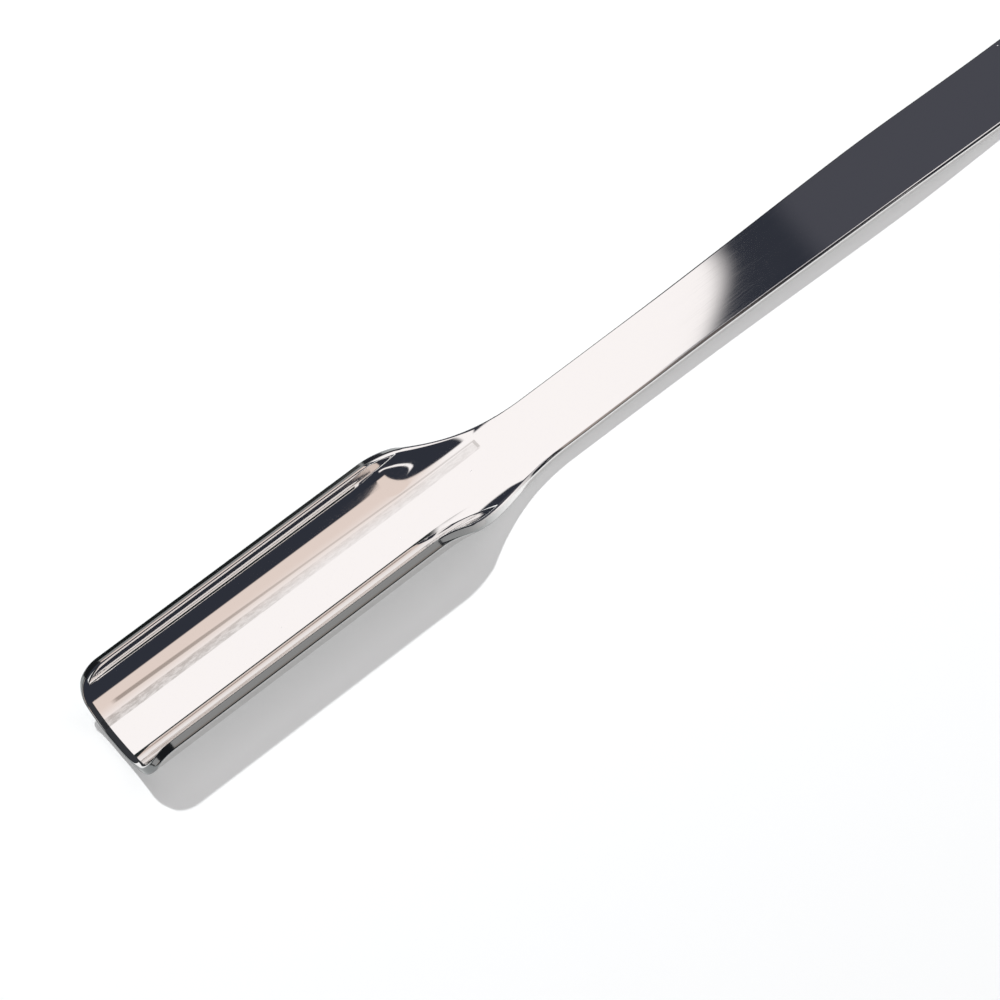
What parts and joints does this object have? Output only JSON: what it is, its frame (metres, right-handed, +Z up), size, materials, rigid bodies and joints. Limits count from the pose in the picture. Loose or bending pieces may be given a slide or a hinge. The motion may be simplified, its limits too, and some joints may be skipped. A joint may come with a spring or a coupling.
{
  "type": "laboratory spatula",
  "caption": "Trough spatula of polished sheet steel: an open-ended scoop with upright rims runs into a long flat handle that ends in a rounded blade.",
  "frame": {"origin": "centre of the bounding box at bench level: half-way along the spatula, on its middle line, on the plane it lies on", "axes": "+X along the spatula from the trough's tip to the end of the blade, +Y across it, +Z up out of the trough's open side"},
  "size_m": [0.2, 0.02, 0.0074],
  "materials": {
    "steel": "stainless steel, mirror polished, unplated"
  },
  "bodies": {
    "root": {"spatula": "steel"}
  },
  "joints": []
}
